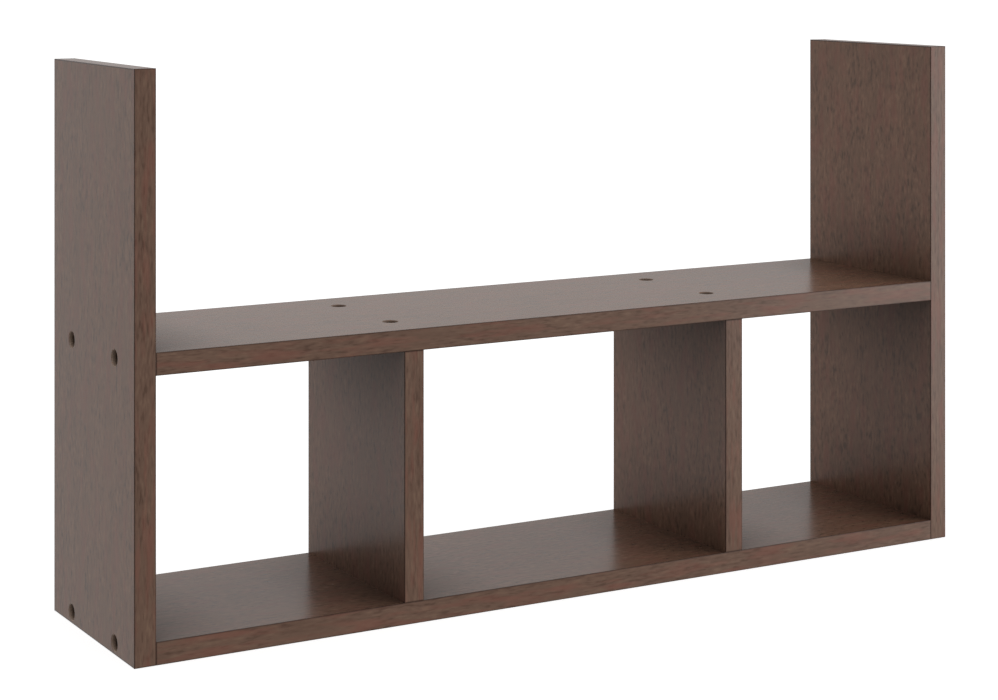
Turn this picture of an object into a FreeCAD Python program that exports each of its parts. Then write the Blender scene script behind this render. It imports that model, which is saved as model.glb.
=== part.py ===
import FreeCAD, Part
import os

import Sketcher
from FreeCAD import Placement, Rotation, Vector

# Desk hutch: two tall side boards, a shelf and a base board between them, and two upright
# dividers between base and shelf. The back is open. Every exposed edge of a board carries a
# glued edge band, and every butt joint is pulled tight by two screws in sunk recesses and
# located by one dowel.
#
# Lengths are millimetres. The origin is the centre of the footprint on the desk: X runs to the
# right, Y to the back and Z up.

DIMENSIONS = [
    ("Width", 810, "overall width"),
    ("Depth", 180, "overall depth, edge bands included"),
    ("Height", 460, "overall height of the side boards"),
    ("Board", 18, "thickness of every board"),
    ("ShelfMiddle", 232, "height of the middle of the shelf board"),
    ("DividerOffset", 161, "from the centre to the middle of each divider"),
    ("Band", 1, "thickness of the edge bands"),
    ("BandEase", 0.5, "radius along the outer edges of the edge bands"),
    ("ScrewSpacing", 96, "between the two screws of a joint, front to back"),
    ("RecessDiameter", 13, "recess over a screw head"),
    ("RecessDepth", 6, "from the board's face to the seat of the screw head"),
    ("RecessEase", 0.5, "chamfer around the mouth of a recess"),
    ("ScrewBore", 7.2, "bore for the shank and the thread"),
    ("ScrewBoreDepth", 38, "depth of the bore in the end of a board"),
    ("HeadDiameter", 11, "screw head"),
    ("HeadThickness", 2, "screw head"),
    ("HeadEase", 0.4, "radius around the top of the screw head"),
    ("SocketFlats", 4, "hexagon socket, across flats"),
    ("SocketDepth", 3.5, "hexagon socket"),
    ("ShankDiameter", 6.8, "plain part of the screw under its head"),
    ("ShankLength", 11, "plain part of the screw under its head"),
    ("CoreDiameter", 5, "screw inside its thread"),
    ("ThreadDiameter", 7, "crest of the thread"),
    ("ThreadPitch", 3, "from one turn to the next"),
    ("ThreadRoot", 1.6, "width of the thread at the core"),
    ("ThreadCrest", 0.3, "width of the thread at its crest"),
    ("ThreadBite", 0.1, "from the surface of the core down to the root of the thread"),
    ("ThreadStart", 2, "from the end of the plain shank to the middle of the first turn"),
    ("ThreadLength", 30, "threaded part of the screw"),
    ("ScrewLength", 48, "from the seat of the head to the tip"),
    ("TipLength", 4, "tapered point of the screw"),
    ("TipDiameter", 2.5, "blunt end of the point"),
    ("DowelDiameter", 8, "dowel"),
    ("DowelInFace", 10, "length of dowel in the face of a board"),
    ("DowelInEnd", 20, "length of dowel in the end of a board"),
    ("DowelBore", 8.1, "bore for a dowel"),
    ("DowelGap", 1, "room left beyond each end of a dowel"),
    ("DowelChamfer", 1, "chamfer at both ends of a dowel"),
    ("FluteDiameter", 1, "glue flutes along a dowel"),
]
FLUTES = 12
FULL_TURN = 360

# Two lengths closer than this are the same, and a cut that takes away less cuts nothing.
SAME_LENGTH = 1e-6
LEAST_CUT_VOLUME = 1e-3

RIGHT = Vector(1, 0, 0)
LEFT = Vector(-1, 0, 0)
FRONT = Vector(0, -1, 0)
BACK = Vector(0, 1, 0)
UP = Vector(0, 0, 1)
DOWN = Vector(0, 0, -1)

# Places and lengths that follow from the dimensions.
HALF_WIDTH = "Dimensions.Width / 2"
HALF_HEIGHT = "Dimensions.Height / 2"
HALF_BOARD = "Dimensions.Board / 2"
HALF_SPACING = "Dimensions.ScrewSpacing / 2"
INNER_WIDTH = "(Dimensions.Width - 2 * Dimensions.Board)"
CORE_DEPTH = "(Dimensions.Depth - 2 * Dimensions.Band)"
CORE_HEIGHT = "(Dimensions.Height - 2 * Dimensions.Band)"
SHELF_TOP = "(Dimensions.ShelfMiddle + Dimensions.Board / 2)"
SHELF_UNDERSIDE = "(Dimensions.ShelfMiddle - Dimensions.Board / 2)"
DIVIDER_HEIGHT = f"({SHELF_UNDERSIDE} - Dimensions.Board)"
DIVIDER_MIDDLE = f"(Dimensions.Board + {DIVIDER_HEIGHT} / 2)"
BASE_MIDDLE = "Dimensions.Board / 2"
CORE_FRONT = "Dimensions.Band - Dimensions.Depth / 2"
CORE_BACK = "Dimensions.Depth / 2 - Dimensions.Band"


def make_sheet(doc):
    sheet = doc.addObject("Spreadsheet::Sheet", "Dimensions")
    for row, (alias, value, meaning) in enumerate(DIMENSIONS, start=1):
        sheet.set(f"A{row}", alias)
        sheet.set(f"B{row}", str(value))
        sheet.set(f"C{row}", meaning)
        sheet.setAlias(f"B{row}", alias)
    doc.recompute()


def minus(expression):
    return f"-({expression})"


def bind(target, **expressions):
    """Drives properties by expressions; a double underscore in a name stands for a dot."""
    for name, expression in expressions.items():
        target.setExpression(name.replace("__", "."), expression)


def place(target, x_axis, z_axis, x="0", y="0", z="0"):
    """Turns the object so that its own X and Z run along the given axes, then drives its place."""
    turn = Rotation(x_axis, z_axis.cross(x_axis), z_axis, "ZXY")
    target.Placement = Placement(Vector(), turn)
    bind(target, Placement__Base__x=x, Placement__Base__y=y, Placement__Base__z=z)


def new_body(doc, label):
    body = doc.addObject("PartDesign::Body", label)
    body.Label = label
    return body


def origin_feature(body, role):
    return next(item for item in body.Origin.OriginFeatures if item.Role == role)


def add_sketch(body, name, role, offset="0"):
    """A sketch on one of the body's own planes, moved along the plane's normal by an expression."""
    sketch = body.newObject("Sketcher::SketchObject", name)
    sketch.AttachmentSupport = [(origin_feature(body, role), "")]
    sketch.MapMode = "FlatFace"
    bind(sketch, AttachmentOffset__Base__z=offset)
    return sketch


def add_named(sketch, name, expression, *constraint):
    """A dimension of a sketch, driven by an expression."""
    index = sketch.addConstraint(Sketcher.Constraint(*constraint, 1.0))
    sketch.renameConstraint(index, name)
    sketch.setExpression(f"Constraints.{name}", expression)


def measure(sketch, expression):
    """The present value of an expression."""
    return float(sketch.evalExpression(expression))


def fix_point(sketch, index, point, across, along):
    """Drives one point of a piece of geometry from the sketch's origin by two expressions."""
    origin_to_point = (-1, 1, index, point)
    add_named(sketch, f"across{index}", across, "DistanceX", *origin_to_point)
    add_named(sketch, f"along{index}", along, "DistanceY", *origin_to_point)


def draw_outline(sketch, corners):
    """Closes a polygon through corners, each given as two expressions."""
    count = len(corners)
    points = [Vector(measure(sketch, across), measure(sketch, along), 0) for across, along in corners]
    for index in range(count):
        sketch.addGeometry(Part.LineSegment(points[index], points[(index + 1) % count]), False)
    for index in range(count):
        following = (index + 1) % count
        sketch.addConstraint(Sketcher.Constraint("Coincident", index, 2, following, 1))
    for index, (across, along) in enumerate(corners):
        fix_point(sketch, index, 1, across, along)


def draw_rectangle(sketch, length, breadth):
    """A rectangle centred on the sketch's origin."""
    half_length = f"{length} / 2"
    half_breadth = f"{breadth} / 2"
    draw_outline(
        sketch,
        [
            (minus(half_length), minus(half_breadth)),
            (half_length, minus(half_breadth)),
            (half_length, half_breadth),
            (minus(half_length), half_breadth),
        ],
    )


def draw_circles(sketch, centres, diameter):
    radius = measure(sketch, diameter) / 2
    for index, (across, along) in enumerate(centres):
        centre = Vector(measure(sketch, across), measure(sketch, along), 0)
        sketch.addGeometry(Part.Circle(centre, UP, radius), False)
        fix_point(sketch, index, 3, across, along)
        add_named(sketch, f"diameter{index}", diameter, "Diameter", index)


def pad(body, name, sketch, length):
    feature = body.newObject("PartDesign::Pad", name)
    feature.Profile = sketch
    bind(feature, Length=length)
    return feature


def pocket(body, name, sketch, depth, reverse=False):
    feature = body.newObject("PartDesign::Pocket", name)
    feature.Profile = sketch
    feature.Reversed = reverse
    bind(feature, Length=depth)
    return feature


def circle_edges(shape, radius, height):
    """Names of the circles of a radius that lie flat at a height."""
    names = []
    for index, edge in enumerate(shape.Edges, start=1):
        circle = edge.Curve
        if isinstance(circle, Part.Circle):
            same_radius = abs(circle.Radius - radius) < SAME_LENGTH
            same_height = abs(circle.Center.z - height) < SAME_LENGTH
            if same_radius and same_height:
                names.append(f"Edge{index}")
    return names


def board_blank(doc, label, length):
    """The board without its bands: X along its length, Y across its depth, outer face on Z = 0."""
    body = new_body(doc, label)
    outline = add_sketch(body, "BoardOutline", "XY_Plane")
    draw_rectangle(outline, length, CORE_DEPTH)
    pad(body, "BoardBlank", outline, "Dimensions.Board")
    return body


def add_screw_holes(doc, body, joints):
    """Two recessed screw holes at each joint, sunk from the outer face right through the board."""
    centres = [(along, side) for along in joints for side in (HALF_SPACING, minus(HALF_SPACING))]
    sketch = add_sketch(body, "ScrewHoleCentres", "XY_Plane")
    draw_circles(sketch, centres, "Dimensions.ScrewBore")
    doc.recompute()
    hole = body.newObject("PartDesign::Hole", "ScrewHoles")
    hole.Profile = sketch
    hole.Reversed = True
    hole.ThreadType = "None"
    hole.DepthType = "ThroughAll"
    hole.HoleCutType = "Counterbore"
    bind(
        hole,
        Diameter="Dimensions.ScrewBore",
        HoleCutDiameter="Dimensions.RecessDiameter",
        HoleCutDepth="Dimensions.RecessDepth",
    )
    doc.recompute()
    ease = body.newObject("PartDesign::Chamfer", "RecessEase")
    ease.Base = (hole, circle_edges(hole.Shape, doc.Dimensions.RecessDiameter / 2, 0))
    bind(ease, Size="Dimensions.RecessEase")


def add_face_dowel_bores(body, joints):
    """One blind dowel bore at each joint, sunk from the inner face."""
    sketch = add_sketch(body, "FaceDowelCentres", "XY_Plane", "Dimensions.Board")
    draw_circles(sketch, [(along, "0") for along in joints], "Dimensions.DowelBore")
    pocket(body, "FaceDowelBores", sketch, "Dimensions.DowelInFace + Dimensions.DowelGap")


def add_end_bores(body, length):
    """Two screw bores and one dowel bore in both ends of the board."""
    end = f"{length} / 2"
    screws = add_sketch(body, "EndScrewCentres", "YZ_Plane", end)
    places = [(HALF_SPACING, HALF_BOARD), (minus(HALF_SPACING), HALF_BOARD)]
    draw_circles(screws, places, "Dimensions.ScrewBore")
    screw_bores = pocket(body, "EndScrewBores", screws, "Dimensions.ScrewBoreDepth")
    dowel = add_sketch(body, "EndDowelCentre", "YZ_Plane", end)
    draw_circles(dowel, [("0", HALF_BOARD)], "Dimensions.DowelBore")
    dowel_bore = pocket(body, "EndDowelBore", dowel, "Dimensions.DowelInEnd + Dimensions.DowelGap")
    other_end = body.newObject("PartDesign::Mirrored", "OtherEnd")
    other_end.Originals = [screw_bores, dowel_bore]
    other_end.MirrorPlane = (origin_feature(body, "YZ_Plane"), [""])
    body.Tip = other_end


def make_side_board(doc, label, inward, outer_face):
    """A full-height board, joined to the base and to the shelf."""
    body = board_blank(doc, label, CORE_HEIGHT)
    joints = [f"{BASE_MIDDLE} - {HALF_HEIGHT}", f"Dimensions.ShelfMiddle - {HALF_HEIGHT}"]
    add_screw_holes(doc, body, joints)
    add_face_dowel_bores(body, joints)
    place(body, UP, inward, x=outer_face, z=HALF_HEIGHT)
    return body


def make_level_board(doc, label, inward, outer_face):
    """A board between the sides, joined to them at its ends and to both dividers at its face."""
    body = board_blank(doc, label, INNER_WIDTH)
    joints = [minus("Dimensions.DividerOffset"), "Dimensions.DividerOffset"]
    add_screw_holes(doc, body, joints)
    add_face_dowel_bores(body, joints)
    add_end_bores(body, INNER_WIDTH)
    place(body, RIGHT, inward, z=outer_face)
    return body


def make_divider_board(doc, label, middle):
    body = board_blank(doc, label, DIVIDER_HEIGHT)
    add_end_bores(body, DIVIDER_HEIGHT)
    place(body, UP, RIGHT, x=f"{middle} - {HALF_BOARD}", z=DIVIDER_MIDDLE)
    return body


def make_boards(doc):
    return [
        make_side_board(doc, "left_side_board", RIGHT, minus(HALF_WIDTH)),
        make_side_board(doc, "right_side_board", LEFT, HALF_WIDTH),
        make_level_board(doc, "shelf_board", DOWN, SHELF_TOP),
        make_level_board(doc, "base_board", UP, "0"),
        make_divider_board(doc, "left_divider_board", minus("Dimensions.DividerOffset")),
        make_divider_board(doc, "right_divider_board", "Dimensions.DividerOffset"),
    ]


def outer_edges(shape, height, along_only):
    """Names of the straight edges at a height above the glued face."""
    names = []
    for index, edge in enumerate(shape.Edges, start=1):
        start, end = (vertex.Point for vertex in edge.Vertexes)
        level = abs(start.z - height) < SAME_LENGTH and abs(end.z - height) < SAME_LENGTH
        lengthwise = abs(start.y - end.y) < SAME_LENGTH
        if level and (lengthwise or not along_only):
            names.append(f"Edge{index}")
    return names


def make_band(doc, label, length, butts):
    """An edge band: X along it, glued face on Z = 0, with its outer edges eased.

    A band that butts against other boards keeps its two ends square.
    """
    body = new_body(doc, label)
    outline = add_sketch(body, "BandOutline", "XY_Plane")
    draw_rectangle(outline, length, "Dimensions.Board")
    strip = pad(body, "BandStrip", outline, "Dimensions.Band")
    doc.recompute()
    ease = body.newObject("PartDesign::Fillet", "BandEase")
    ease.Base = (strip, outer_edges(strip.Shape, doc.Dimensions.Band, butts))
    bind(ease, Radius="Dimensions.BandEase")
    return body


def make_edge_pair(doc, board, length, run, butts, **middle):
    """The front and back bands of one board."""
    front = make_band(doc, f"{board}_front_band", length, butts)
    place(front, run, FRONT, y=CORE_FRONT, **middle)
    back = make_band(doc, f"{board}_back_band", length, butts)
    place(back, run, BACK, y=CORE_BACK, **middle)
    return [front, back]


def make_end_pair(doc, board, middle):
    """The bands on the top and bottom ends of a side board, between its front and back bands."""
    top = make_band(doc, f"{board}_top_band", CORE_DEPTH, True)
    place(top, BACK, UP, x=middle, z="Dimensions.Height - Dimensions.Band")
    bottom = make_band(doc, f"{board}_bottom_band", CORE_DEPTH, True)
    place(bottom, BACK, DOWN, x=middle, z="Dimensions.Band")
    return [top, bottom]


def make_bands(doc):
    bands = []
    side_middle = f"{HALF_WIDTH} - {HALF_BOARD}"
    for board, middle in (("left_side", minus(side_middle)), ("right_side", side_middle)):
        place_along = {"x": middle, "z": HALF_HEIGHT}
        bands += make_edge_pair(doc, board, "Dimensions.Height", UP, False, **place_along)
        bands += make_end_pair(doc, board, middle)
    for board, middle in (("shelf", "Dimensions.ShelfMiddle"), ("base", BASE_MIDDLE)):
        bands += make_edge_pair(doc, board, INNER_WIDTH, RIGHT, True, z=middle)
    offset = "Dimensions.DividerOffset"
    for board, middle in (("left_divider", minus(offset)), ("right_divider", offset)):
        place_along = {"x": middle, "z": DIVIDER_MIDDLE}
        bands += make_edge_pair(doc, board, DIVIDER_HEIGHT, UP, True, **place_along)
    return bands


def draw_screw_profile(sketch):
    """Half of the screw's outline, from the top of its head to its blunt tip."""
    head = "Dimensions.HeadDiameter / 2"
    shank = "Dimensions.ShankDiameter / 2"
    core = "Dimensions.CoreDiameter / 2"
    tip = "Dimensions.TipDiameter / 2"
    head_top = minus("Dimensions.HeadThickness")
    draw_outline(
        sketch,
        [
            ("0", head_top),
            (head, head_top),
            (head, "0"),
            (shank, "0"),
            (shank, "Dimensions.ShankLength"),
            (core, f"Dimensions.ShankLength + {shank} - {core}"),
            (core, "Dimensions.ScrewLength - Dimensions.TipLength"),
            (tip, "Dimensions.ScrewLength"),
            ("0", "Dimensions.ScrewLength"),
        ],
    )


def add_thread(body):
    """A coarse wood thread, wound up the core from just above the plain shank."""
    profile = add_sketch(body, "ThreadProfile", "XZ_Plane")
    root = "Dimensions.CoreDiameter / 2 - Dimensions.ThreadBite"
    crest = "Dimensions.ThreadDiameter / 2"
    middle = "Dimensions.ShankLength + Dimensions.ThreadStart"
    draw_outline(
        profile,
        [
            (root, f"{middle} - Dimensions.ThreadRoot / 2"),
            (crest, f"{middle} - Dimensions.ThreadCrest / 2"),
            (crest, f"{middle} + Dimensions.ThreadCrest / 2"),
            (root, f"{middle} + Dimensions.ThreadRoot / 2"),
        ],
    )
    thread = body.newObject("PartDesign::AdditiveHelix", "Thread")
    thread.Profile = profile
    thread.ReferenceAxis = (profile, ["V_Axis"])
    thread.Mode = "pitch-height-angle"
    bind(thread, Pitch="Dimensions.ThreadPitch", Height="Dimensions.ThreadLength")


def add_hexagon_socket(body):
    sketch = add_sketch(body, "Socket", "XY_Plane", minus("Dimensions.HeadThickness"))
    corner = "Dimensions.SocketFlats / sqrt(3)"
    half_flats = "Dimensions.SocketFlats / 2"
    draw_outline(
        sketch,
        [
            (corner, "0"),
            (f"{corner} / 2", half_flats),
            (minus(f"{corner} / 2"), half_flats),
            (minus(corner), "0"),
            (minus(f"{corner} / 2"), minus(half_flats)),
            (f"{corner} / 2", minus(half_flats)),
        ],
    )
    pocket(body, "SocketPocket", sketch, "Dimensions.SocketDepth", reverse=True)


def make_screw(doc):
    """A connector screw along Z, with the seat of its head on Z = 0 and its tip upward."""
    body = new_body(doc, "screw")
    profile = add_sketch(body, "ScrewProfile", "XZ_Plane")
    draw_screw_profile(profile)
    blank = body.newObject("PartDesign::Revolution", "ScrewBlank")
    blank.Profile = profile
    blank.ReferenceAxis = (profile, ["V_Axis"])
    blank.Angle = FULL_TURN
    doc.recompute()
    sizes = doc.Dimensions
    ease = body.newObject("PartDesign::Fillet", "HeadEase")
    ease.Base = (blank, circle_edges(blank.Shape, sizes.HeadDiameter / 2, -sizes.HeadThickness))
    bind(ease, Radius="Dimensions.HeadEase")
    doc.recompute()
    add_hexagon_socket(body)
    doc.recompute()
    add_thread(body)
    return body


def make_dowel(doc):
    """A fluted dowel along Z, with the joint it locates on Z = 0 and its long part upward."""
    body = new_body(doc, "dowel")
    circle = add_sketch(body, "DowelOutline", "XY_Plane", minus("Dimensions.DowelInFace"))
    draw_circles(circle, [("0", "0")], "Dimensions.DowelDiameter")
    pin = pad(body, "DowelPin", circle, "Dimensions.DowelInFace + Dimensions.DowelInEnd")
    doc.recompute()
    sizes = doc.Dimensions
    rims = []
    for end in (-sizes.DowelInFace, sizes.DowelInEnd):
        rims += circle_edges(pin.Shape, sizes.DowelDiameter / 2, end)
    chamfer = body.newObject("PartDesign::Chamfer", "DowelChamfer")
    chamfer.Base = (pin, rims)
    bind(chamfer, Size="Dimensions.DowelChamfer")
    doc.recompute()
    flute_circle = add_sketch(body, "Flute", "XY_Plane", "Dimensions.DowelInEnd")
    draw_circles(flute_circle, [("Dimensions.DowelDiameter / 2", "0")], "Dimensions.FluteDiameter")
    flute = pocket(body, "FluteCut", flute_circle, "Dimensions.DowelInFace + Dimensions.DowelInEnd")
    ring = body.newObject("PartDesign::PolarPattern", "FluteRing")
    ring.Originals = [flute]
    ring.Axis = (origin_feature(body, "Z_Axis"), [""])
    ring.Angle = FULL_TURN
    ring.Occurrences = FLUTES
    body.Tip = ring
    return body


def add_group(doc, label, master, inward, places):
    """One node of identical fasteners: a linked copy of the master at each place."""
    copies = []
    for index, (x, y, z) in enumerate(places, start=1):
        copy = doc.addObject("App::Link", f"{label}_{index}")
        copy.LinkedObject = master
        place(copy, inward.cross(BACK), inward, x=x, y=y, z=z)
        copies.append(copy)
    group = doc.addObject("Part::Compound", label)
    group.Label = label
    group.Links = copies
    return group


def make_fasteners(doc):
    """Two screws and one dowel in each of the eight joints, grouped by the board they pass."""
    screw = make_screw(doc)
    dowel = make_dowel(doc)
    seat = "Dimensions.RecessDepth"
    groups = []

    joint_heights = [BASE_MIDDLE, "Dimensions.ShelfMiddle"]
    screw_rows = [(side, z) for z in joint_heights for side in (minus(HALF_SPACING), HALF_SPACING)]
    for label, inward, sign in (("left_side", RIGHT, "-1"), ("right_side", LEFT, "1")):
        head_x = f"{sign} * ({HALF_WIDTH} - {seat})"
        joint_x = f"{sign} * {INNER_WIDTH} / 2"
        screws = [(head_x, y, z) for y, z in screw_rows]
        dowels = [(joint_x, "0", z) for z in joint_heights]
        groups.append(add_group(doc, f"{label}_screws", screw, inward, screws))
        groups.append(add_group(doc, f"{label}_dowels", dowel, inward, dowels))

    joint_places = [minus("Dimensions.DividerOffset"), "Dimensions.DividerOffset"]
    screw_rows = [(x, side) for x in joint_places for side in (minus(HALF_SPACING), HALF_SPACING)]
    levels = (
        ("shelf", DOWN, f"{SHELF_TOP} - {seat}", SHELF_UNDERSIDE),
        ("base", UP, seat, "Dimensions.Board"),
    )
    for label, inward, head_z, joint_z in levels:
        screws = [(x, y, head_z) for x, y in screw_rows]
        dowels = [(x, "0", joint_z) for x in joint_places]
        groups.append(add_group(doc, f"{label}_screws", screw, inward, screws))
        groups.append(add_group(doc, f"{label}_dowels", dowel, inward, dowels))
    return groups


def check_states(doc):
    for item in doc.Objects:
        if "Invalid" in item.State or "Error" in item.State:
            raise RuntimeError(f"{item.Label} did not recompute: {item.State}")


def check_cuts(doc):
    """Every feature that cuts must leave less material than it started from."""
    for item in doc.Objects:
        if item.TypeId in ("PartDesign::Pocket", "PartDesign::Hole"):
            if item.Shape.Volume > item.BaseFeature.Shape.Volume - LEAST_CUT_VOLUME:
                raise RuntimeError(f"{item.Label} cuts nothing")


def check_shape(part):
    if part.Shape.isNull() or not part.Shape.isValid():
        raise RuntimeError(f"{part.Label} has no valid shape")


def write_parts(parts):
    os.makedirs("parts", exist_ok=True)
    for part in parts:
        part.Shape.exportStep(f"parts/{part.Label}.step")


def main():
    doc = FreeCAD.newDocument("desk_hutch")
    make_sheet(doc)
    parts = make_boards(doc) + make_bands(doc) + make_fasteners(doc)
    doc.recompute()
    check_states(doc)
    check_cuts(doc)
    for part in parts:
        check_shape(part)
    write_parts(parts)


main()
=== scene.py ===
import math

import bpy
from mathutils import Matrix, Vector


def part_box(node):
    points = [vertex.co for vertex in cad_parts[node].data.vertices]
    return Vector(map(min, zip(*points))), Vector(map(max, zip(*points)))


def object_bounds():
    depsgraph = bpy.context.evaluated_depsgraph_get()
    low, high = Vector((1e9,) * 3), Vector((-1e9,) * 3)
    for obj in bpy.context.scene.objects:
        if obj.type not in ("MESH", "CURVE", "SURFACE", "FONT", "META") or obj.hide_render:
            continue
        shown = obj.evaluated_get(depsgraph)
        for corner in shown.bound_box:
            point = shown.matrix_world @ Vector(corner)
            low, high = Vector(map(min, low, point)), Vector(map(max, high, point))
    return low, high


# Desk hutch in dark brown wood laminate, on a plain pale floor. Lengths are metres. The CAD
# nodes keep their shapes; this script gives them their materials, the light and the camera.

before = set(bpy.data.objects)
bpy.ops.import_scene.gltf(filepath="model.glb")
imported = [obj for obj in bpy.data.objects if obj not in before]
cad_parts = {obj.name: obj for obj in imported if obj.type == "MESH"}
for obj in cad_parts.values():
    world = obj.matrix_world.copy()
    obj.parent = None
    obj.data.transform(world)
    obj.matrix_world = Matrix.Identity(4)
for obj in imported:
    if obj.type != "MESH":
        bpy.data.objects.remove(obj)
cad_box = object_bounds()

# Axes of the frame, by their number.
ACROSS, BACKWARD, UPRIGHT = range(3)

# Where the camera stands, and its lens. The lens is shifted down and slightly aside, so that
# the camera looks level, and uprights stay upright in the picture. At OFF_STAND or more from
# the stand there is no shift.
STAND = Vector((-1.0634, -1.7549, 0.5561))
YAW = math.radians(-29.22)
LENS_MM = 83.55
SENSOR_MM = 36.0
SHIFT_RIGHT = 0.0540
SHIFT_UP = -0.4074
OFF_STAND = 0.05
NEAREST_SEEN = 0.05

# The studio: a floor, a dome of light, a large softbox in front on the right, and a fill light
# in front on the left. The dome gets brighter along its lean, and its twist brightens the back
# left and the front right.
FLOOR_HALF = 60.0
FLOOR_DROP = 0.0002
FLOOR_TONE = (0.62, 0.62, 0.62, 1.0)
FLOOR_GLOW = 0.80
DOME_LIGHT = 0.444
DOME_LEAN = (0.08, 0.21, 0.17)
DOME_TWIST = 0.265
LIGHT_TARGET = Vector((0.0, 0.0, 0.25))
KEY = {"place": (2.41, -1.78, 0.58), "width": 1.56, "height": 2.32, "watts": 24.2}
FILL = {"place": (-0.95, -3.0, 0.45), "width": 1.0, "height": 1.0, "watts": 5.5}

WHITE = (1.0, 1.0, 1.0, 1.0)
GREY = (0.5, 0.5, 0.5, 1.0)
BLACK = (0.0, 0.0, 0.0, 1.0)

# Patterns in the wood: waves per metre along the grain and across it, then the detail and the
# roughness of the noise.
PATTERNS = {
    "waver": (22, 14, 2.0, 0.5),
    "fibre": (130, 330, 1.5, 0.5),
    "strand": (36, 220, 2.0, 0.5),
    "density": (18, 45, 2.0, 0.5),
    "cloud": (16, 50, 2.0, 0.6),
    "blush": (30, 110, 2.0, 0.5),
    "fleck": (90, 500, 1.0, 0.5),
    "beech_fibre": (60, 700, 3.0, 0.5),
    "beech_fleck": (300, 1400, 1.0, 0.5),
}
WAVER_SWING = 0.0024
SEED_STEP = (3.7, 1.9, 5.3)
BEECH_SEED = 11

# The noise level where a mark starts to show, and how steeply the mark rises from there.
DENSITY_RISE = (0.2, 3.0)
BLUSH_RISE = (0.48, 5.0)
PIT_RISE = (0.65, 8.0)
SPOT_RISE = (0.62, 5.0)

MARK_STOPS = ((0.30, BLACK), (0.46, GREY), (0.54, GREY), (0.70, WHITE))
STRAND_SHARE = 0.5
BLUSH_SHARE = 0.5
PIT_SHARE = 0.5
PIT_DEPTH = 0.6
BUMP_HEIGHT = 0.0002

# The satin coat over the print.
COAT_ROUGHNESS = 0.25
COAT_SWING = 0.08
COAT_IOR = 1.41
COAT_BUMP = 0.12

# The printed skin of a board, and the chipboard core under it.
SKIN = 0.0002
SKIN_FADE = 0.0002
# The bare core darkens over this depth into a recess: painted shade.
CORE_DEPTH = 0.006
CHIP_WAVES = 900.0
CHIP_SWING = 0.4
# How much extra painted shade the core of a flat board gets.
FLAT_CORE_SHADE = 0.5

# A thin painted shade along a band's outline, darkening its joint with the next piece.
JOINT_SHADE_WIDTH = 0.0012
JOINT_SHADE_DEPTH = 0.85

# The painted shade where boards meet. It fades by its slope for each metre further back.
CORNER_REACH = 0.085
CORNER_DEPTH = 0.75
CORNER_SLOPE = 3.0
CORNER_SAMPLES = 8

STEEL_WAVES = 900.0
STEEL_ROUGHNESS = 0.425
STEEL_SWING = 0.25
STEEL_METALLIC = 0.8
BEECH_ROUGHNESS = 0.7
BEECH_BUMP = 0.3


def linear(*srgb):
    """Linear colour from red, green and blue on the usual 0 to 255 scale."""
    parts = []
    for value in srgb:
        share = value / 255
        parts.append(share / 12.92 if share <= 0.04045 else ((share + 0.055) / 1.055) ** 2.4)
    return (*parts, 1.0)


# The printed grain of boards and of bands: its tones, the contrast of its marks, the strength
# of its mottling, and how far its waves are drawn together along the grain and across it.
BOARD_GRAIN = {
    "dark": linear(99, 73, 57),
    "middle": linear(130, 97, 77),
    "light": linear(148, 112, 90),
    "red": linear(142, 91, 76),
    "contrast": 0.72,
    "mottle": 0.35,
    "draw": (1.0, 1.0, 1.0),
}
BAND_GRAIN = {
    "dark": linear(98, 71, 57),
    "middle": linear(133, 103, 86),
    "light": linear(152, 121, 100),
    "red": linear(153, 98, 83),
    "contrast": 0.5,
    "mottle": 0.4,
    "draw": (0.75, 1.5, 1.5),
}
# The colour of the painted shade at a band's joints.
JOINT_SHADE_COLOUR = linear(60, 34, 25)
# The bare core: pale chipboard by a recess's mouth, going to painted shade deeper in.
CORE_DARK = linear(84, 64, 50)
CORE_STOPS = ((0.0, linear(206, 182, 164)), (0.4, linear(174, 151, 134)), (0.8, CORE_DARK))
STEEL_STOPS = ((0.3, linear(24, 23, 23)), (0.75, linear(48, 46, 45)))
BEECH_STOPS = ((0.25, linear(196, 158, 116)), (0.75, linear(222, 190, 150)))
BEECH_SPOT = linear(160, 118, 80)


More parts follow.
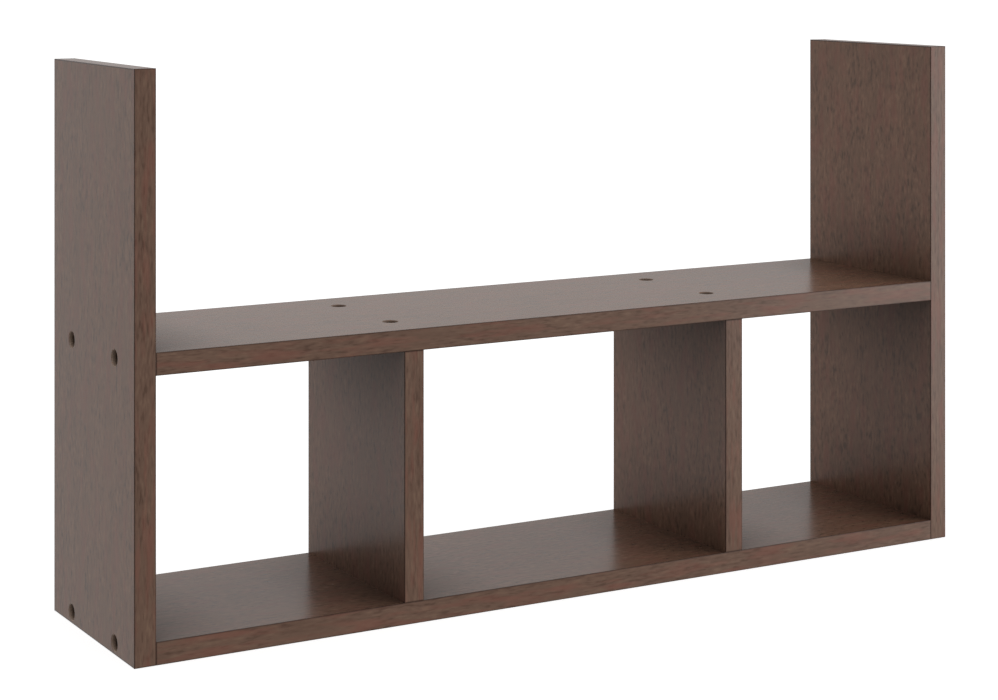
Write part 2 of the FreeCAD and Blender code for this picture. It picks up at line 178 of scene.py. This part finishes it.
class NodeBench:
    """Adds nodes to one node tree and links them as they are made."""

    def __init__(self, tree):
        self.tree = tree
        self.tree.nodes.clear()

    def put(self, kind, inputs=None, **settings):
        node = self.tree.nodes.new(kind)
        for name, value in settings.items():
            setattr(node, name, value)
        for name, value in (inputs or {}).items():
            socket = node.inputs[name]
            if isinstance(value, bpy.types.NodeSocket):
                self.tree.links.new(value, socket)
            else:
                socket.default_value = value
        return node

    def maths(self, operation, first, second=0.0, clamp=False):
        inputs = {0: first, 1: second}
        node = self.put("ShaderNodeMath", inputs, operation=operation, use_clamp=clamp)
        return node.outputs[0]

    def scaled(self, value, factor, offset, clamp=False):
        """value * factor + offset"""
        inputs = {0: value, 1: factor, 2: offset}
        node = self.put("ShaderNodeMath", inputs, operation="MULTIPLY_ADD", use_clamp=clamp)
        return node.outputs[0]

    def swing(self, value, amount, middle=0.0):
        """Spreads a value from 0 to 1 over that amount, centred on the middle."""
        return self.scaled(value, amount, middle - amount / 2)

    def rise(self, value, start, steepness):
        """0 up to the start, then a straight rise, held at 1."""
        return self.scaled(value, steepness, -start * steepness, clamp=True)

    def vector_maths(self, operation, first, second):
        inputs = {0: first, 1: second}
        return self.put("ShaderNodeVectorMath", inputs, operation=operation).outputs[0]

    def point(self):
        """Where the surface is in the frame."""
        return self.put("ShaderNodeTexCoord").outputs["Object"]

    def distance_along(self, axis):
        """Where the surface is along one axis of the frame."""
        return self.put("ShaderNodeSeparateXYZ", {"Vector": self.point()}).outputs[axis]

    def noise(self, vector, scale, detail, roughness=0.5):
        inputs = {"Vector": vector, "Scale": scale, "Detail": detail, "Roughness": roughness}
        return self.put("ShaderNodeTexNoise", inputs).outputs["Fac"]

    def ramp(self, factor, *stops):
        """A colour ramp with a stop for each (position, colour)."""
        node = self.put("ShaderNodeValToRGB", {"Fac": factor})
        elements = node.color_ramp.elements
        for _ in stops[2:]:
            elements.new(0.5)
        for element, (position, colour) in zip(elements, stops):
            element.position = position
            element.color = colour
        return node.outputs["Color"]

    def mix(self, factor, first, second):
        node = self.put("ShaderNodeMix", {0: factor, 6: first, 7: second}, data_type="RGBA")
        return node.outputs[2]

    def mix_shader(self, factor, first, second):
        inputs = {0: factor, 1: first, 2: second}
        return self.put("ShaderNodeMixShader", inputs).outputs[0]

    def bump(self, height, strength):
        inputs = {"Height": height, "Strength": strength, "Distance": BUMP_HEIGHT}
        return self.put("ShaderNodeBump", inputs).outputs[0]

    def principled(self, colour, roughness, **others):
        inputs = {"Base Color": colour, "Roughness": roughness, **others}
        return self.put("ShaderNodeBsdfPrincipled", inputs).outputs[0]

    def show(self, surface):
        self.put("ShaderNodeOutputMaterial", {"Surface": surface})


def new_material(name):
    """A new material, and a bench for its nodes."""
    material = bpy.data.materials.new(name)
    material.use_nodes = True
    return material, NodeBench(material.node_tree)


def axes_by_length(low, high):
    """The axes of a box, from its shortest side to its longest."""
    size = high - low
    return sorted(range(3), key=lambda axis: size[axis])


def grain_space(bench, grain_axis, seed):
    """A point's coordinates, with the one along the grain first, moved by an amount of its own."""
    order = [grain_axis] + [axis for axis in range(3) if axis != grain_axis]
    inputs = {index: bench.distance_along(axis) for index, axis in enumerate(order)}
    turned = bench.put("ShaderNodeCombineXYZ", inputs).outputs[0]
    return bench.vector_maths("ADD", turned, [seed * step for step in SEED_STEP])


def streaks(bench, space, pattern):
    """Noise from 0 to 1, drawn out along the grain."""
    along, across, detail, roughness = PATTERNS[pattern]
    stretched = bench.vector_maths("MULTIPLY", space, (along, across, across))
    return bench.noise(stretched, 1.0, detail, roughness)


def wavering(bench, space):
    """The same space with the grain wandering from side to side."""
    offset = bench.swing(streaks(bench, space, "waver"), WAVER_SWING)
    sideways = bench.put("ShaderNodeCombineXYZ", {"X": 0.0, "Y": offset, "Z": offset})
    return bench.vector_maths("ADD", space, sideways.outputs[0])


def inset(bench, low, high, axis):
    """How deep a point lies below the nearer of a box's two faces across an axis."""
    middle = (low[axis] + high[axis]) / 2
    off_middle = bench.maths("SUBTRACT", bench.distance_along(axis), middle)
    either_way = bench.maths("ABSOLUTE", off_middle)
    return bench.scaled(either_way, -1.0, (high[axis] - low[axis]) / 2)


def joint_shade_line(bench, low, high):
    """High along the outline of a band's broad face, where painted shade darkens its joint, and 0
    inside.
    """
    broad = axes_by_length(low, high)[1:]
    nearest = bench.maths("MINIMUM", *(inset(bench, low, high, axis) for axis in broad))
    return bench.scaled(nearest, -JOINT_SHADE_DEPTH / JOINT_SHADE_WIDTH, JOINT_SHADE_DEPTH, clamp=True)


def bare_core(bench, low, high):
    """Where a board's core is bare, in its recesses, and its colour: pale by the mouth, then
    darker deeper in as painted shade.

    Boards that lie flat get a darker core, more painted shade in their recesses.
    """
    thin = axes_by_length(low, high)[0]
    depth = inset(bench, low, high, thin)
    bare = bench.rise(depth, SKIN, 1 / SKIN_FADE)
    chips = bench.noise(bench.point(), CHIP_WAVES, detail=2.0)
    share_of_depth = bench.scaled(depth, 1 / CORE_DEPTH, 0.0)
    tone = bench.maths("ADD", share_of_depth, bench.swing(chips, CHIP_SWING))
    core = bench.ramp(tone, *CORE_STOPS)
    # More painted shade in the recesses of flat boards.
    if thin == UPRIGHT:
        core = bench.mix(FLAT_CORE_SHADE, core, CORE_DARK)
    return bare, core


def corner_shade(bench, surface):
    """Paints extra shade where one board meets another, by mixing in black, most of all towards
    the front.

    A board's own recesses stay as they are.
    """
    reach = {"Distance": CORNER_REACH}
    near_all = bench.put("ShaderNodeAmbientOcclusion", reach, samples=CORNER_SAMPLES)
    near_self = bench.put(
        "ShaderNodeAmbientOcclusion", reach, samples=CORNER_SAMPLES, only_local=True
    )
    hidden = bench.maths("SUBTRACT", near_self.outputs["AO"], near_all.outputs["AO"], clamp=True)
    depth = bench.scaled(bench.distance_along(BACKWARD), -CORNER_SLOPE, CORNER_DEPTH)
    shade = bench.maths("MULTIPLY", hidden, depth, clamp=True)
    black = bench.put("ShaderNodeBsdfDiffuse", {"Color": BLACK})
    return bench.mix_shader(shade, surface, black.outputs[0])


def grain_tone(bench, space, fibre, grain):
    """How light the print is, from 0 to 1: short fibre marks, strands and mottling."""
    marks = bench.swing(bench.ramp(fibre, *MARK_STOPS), grain["contrast"])
    density = bench.rise(streaks(bench, space, "density"), *DENSITY_RISE)
    strands = streaks(bench, space, "strand")
    tone = bench.swing(strands, STRAND_SHARE * grain["contrast"], middle=0.5)
    tone = bench.maths("ADD", tone, bench.maths("MULTIPLY", marks, density))
    mottling = bench.swing(streaks(bench, space, "cloud"), grain["mottle"])
    return bench.maths("ADD", tone, mottling)


def grain_colour(bench, space, fibre, pit, grain):
    """The colour of the print, with reddish patches and dark pits."""
    tone = grain_tone(bench, space, fibre, grain)
    stops = ((0.1, grain["dark"]), (0.5, grain["middle"]), (0.9, grain["light"]))
    blush = bench.rise(streaks(bench, space, "blush"), *BLUSH_RISE)
    redness = bench.maths("MULTIPLY", blush, BLUSH_SHARE)
    colour = bench.mix(redness, bench.ramp(tone, *stops), grain["red"])
    return bench.mix(bench.maths("MULTIPLY", pit, PIT_SHARE), colour, grain["dark"])


def wood_laminate(name, box, seed):
    """Printed wood grain under a satin coat, for the board or the edge band in a box.

    A band's outline gets painted shade at its joints, and a board shows its core in its recesses.
    """
    material, bench = new_material(name)
    is_band = name.endswith("_band")
    grain = BAND_GRAIN if is_band else BOARD_GRAIN
    space = wavering(bench, grain_space(bench, axes_by_length(*box)[-1], seed))
    space = bench.vector_maths("MULTIPLY", space, grain["draw"])
    fibre = streaks(bench, space, "fibre")
    pit = bench.rise(streaks(bench, space, "fleck"), *PIT_RISE)
    colour = grain_colour(bench, space, fibre, pit, grain)
    roughness = bench.swing(fibre, COAT_SWING, COAT_ROUGHNESS)
    if is_band:
        # Painted shade along the band's joints.
        colour = bench.mix(joint_shade_line(bench, *box), colour, JOINT_SHADE_COLOUR)
    else:
        bare, core = bare_core(bench, *box)
        colour = bench.mix(bare, colour, core)
        roughness = bench.maths("MAXIMUM", roughness, bare)
    relief = bench.maths("SUBTRACT", fibre, bench.maths("MULTIPLY", pit, PIT_DEPTH))
    normal = bench.bump(relief, COAT_BUMP)
    coated = bench.principled(colour, roughness, IOR=COAT_IOR, Normal=normal)
    # Painted shade where this piece meets another.
    bench.show(corner_shade(bench, coated))
    return material


def black_steel():
    """Blackened screw steel with faint marks."""
    material, bench = new_material("black_steel")
    marks = bench.noise(bench.point(), STEEL_WAVES, detail=3.0)
    colour = bench.ramp(marks, *STEEL_STOPS)
    roughness = bench.swing(marks, STEEL_SWING, STEEL_ROUGHNESS)
    bench.show(bench.principled(colour, roughness, Metallic=STEEL_METALLIC))
    return material


def raw_beech(name, grain_axis):
    """Pale uncoated beech with short darker flecks."""
    material, bench = new_material(name)
    space = grain_space(bench, grain_axis, BEECH_SEED)
    fibre = streaks(bench, space, "beech_fibre")
    spot = bench.rise(streaks(bench, space, "beech_fleck"), *SPOT_RISE)
    colour = bench.mix(spot, bench.ramp(fibre, *BEECH_STOPS), BEECH_SPOT)
    normal = bench.bump(fibre, BEECH_BUMP)
    bench.show(bench.principled(colour, BEECH_ROUGHNESS, Normal=normal))
    return material


def finish_nodes():
    """Gives every CAD node its material: each board and band has grain of its own.

    Dowels run across the hutch in the side boards, and upright in the shelf and the base.
    """
    steel = black_steel()
    for seed, (name, node) in enumerate(sorted(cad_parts.items()), start=1):
        if name.endswith("_screws"):
            material = steel
        elif name.endswith("_dowels"):
            material = raw_beech(name, ACROSS if "side" in name else UPRIGHT)
        else:
            material = wood_laminate(name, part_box(name), seed)
        node.data.materials.clear()
        node.data.materials.append(material)


def lay_floor():
    """A pale floor that glows to white, has no underside and throws no light on the object."""
    corners = [(-1, -1), (1, -1), (1, 1), (-1, 1)]
    points = [(x * FLOOR_HALF, y * FLOOR_HALF, 0.0) for x, y in corners]
    mesh = bpy.data.meshes.new("floor")
    mesh.from_pydata(points, [], [(0, 1, 2, 3)])
    floor = bpy.data.objects.new("floor", mesh)
    bpy.context.scene.collection.objects.link(floor)
    floor.location.z = cad_box[0].z - FLOOR_DROP
    material, bench = new_material("pale_floor")
    matt = bench.put("ShaderNodeBsdfDiffuse", {"Color": FLOOR_TONE})
    glow = bench.put("ShaderNodeEmission", {"Color": WHITE, "Strength": FLOOR_GLOW})
    lit = bench.put("ShaderNodeAddShader", {0: matt.outputs[0], 1: glow.outputs[0]})
    below = bench.put("ShaderNodeNewGeometry").outputs["Backfacing"]
    clear = bench.put("ShaderNodeBsdfTransparent")
    bench.show(bench.mix_shader(below, lit.outputs[0], clear.outputs[0]))
    mesh.materials.append(material)
    floor.visible_diffuse = False
    floor.visible_glossy = False
    floor.visible_shadow = False


def light_world():
    """A dome of light that leans and twists, and is itself seen as white."""
    world = bpy.data.worlds.new("studio")
    world.use_nodes = True
    bpy.context.scene.world = world
    bench = NodeBench(world.node_tree)
    towards = bench.put("ShaderNodeTexCoord").outputs["Generated"]
    right, back, _ = bench.put("ShaderNodeSeparateXYZ", {"Vector": towards}).outputs
    lean = bench.put("ShaderNodeVectorMath", {0: towards, 1: DOME_LEAN}, operation="DOT_PRODUCT")
    twisted = bench.scaled(bench.maths("MULTIPLY", right, back), -DOME_TWIST, DOME_LIGHT)
    strength = bench.maths("ADD", twisted, lean.outputs["Value"])
    dome = bench.put("ShaderNodeBackground", {"Color": WHITE, "Strength": strength})
    backdrop = bench.put("ShaderNodeBackground", {"Color": WHITE, "Strength": 1.0})
    seen = bench.put("ShaderNodeLightPath").outputs["Is Camera Ray"]
    both = bench.mix_shader(seen, dome.outputs[0], backdrop.outputs[0])
    bench.put("ShaderNodeOutputWorld", {"Surface": both})


def hang_softbox(name, place, width, height, watts):
    """A softbox aimed at the object, and itself unseen."""
    light = bpy.data.lights.new(name, "AREA")
    light.shape = "RECTANGLE"
    light.size = width
    light.size_y = height
    light.energy = watts
    softbox = bpy.data.objects.new(name, light)
    bpy.context.scene.collection.objects.link(softbox)
    softbox.location = place
    aim = LIGHT_TARGET - softbox.location
    softbox.rotation_euler = aim.to_track_quat("-Z", "Y").to_euler()
    softbox.visible_camera = False


def drive_shift(camera, stand, channel, amount):
    """Shifts the lens only while the camera is on its stand, so that other views stay centred."""
    curve = camera.data.driver_add(channel)
    curve.modifiers.remove(curve.modifiers[0])
    curve.driver.type = "SUM"
    distance = curve.driver.variables.new()
    distance.type = "LOC_DIFF"
    distance.targets[0].id = camera
    distance.targets[1].id = stand
    for gap, shift in ((0.0, amount), (OFF_STAND, 0.0)):
        curve.keyframe_points.insert(gap, shift).interpolation = "LINEAR"


def stand_camera():
    """The scene's camera, level on its stand, with its lens shifted towards the object."""
    data = bpy.data.cameras.new("camera")
    data.lens = LENS_MM
    data.sensor_width = SENSOR_MM
    data.clip_start = NEAREST_SEEN
    data.clip_end = 4 * FLOOR_HALF
    camera = bpy.data.objects.new("camera", data)
    stand = bpy.data.objects.new("camera_stand", None)
    for item in (camera, stand):
        bpy.context.scene.collection.objects.link(item)
        item.location = STAND
    camera.rotation_euler = (math.radians(90), 0.0, YAW)
    drive_shift(camera, stand, "shift_x", SHIFT_RIGHT)
    drive_shift(camera, stand, "shift_y", SHIFT_UP)
    bpy.context.scene.camera = camera


finish_nodes()
lay_floor()
light_world()
hang_softbox("key", **KEY)
hang_softbox("fill", **FILL)
stand_camera()
bpy.context.scene.view_settings.view_transform = "Standard"
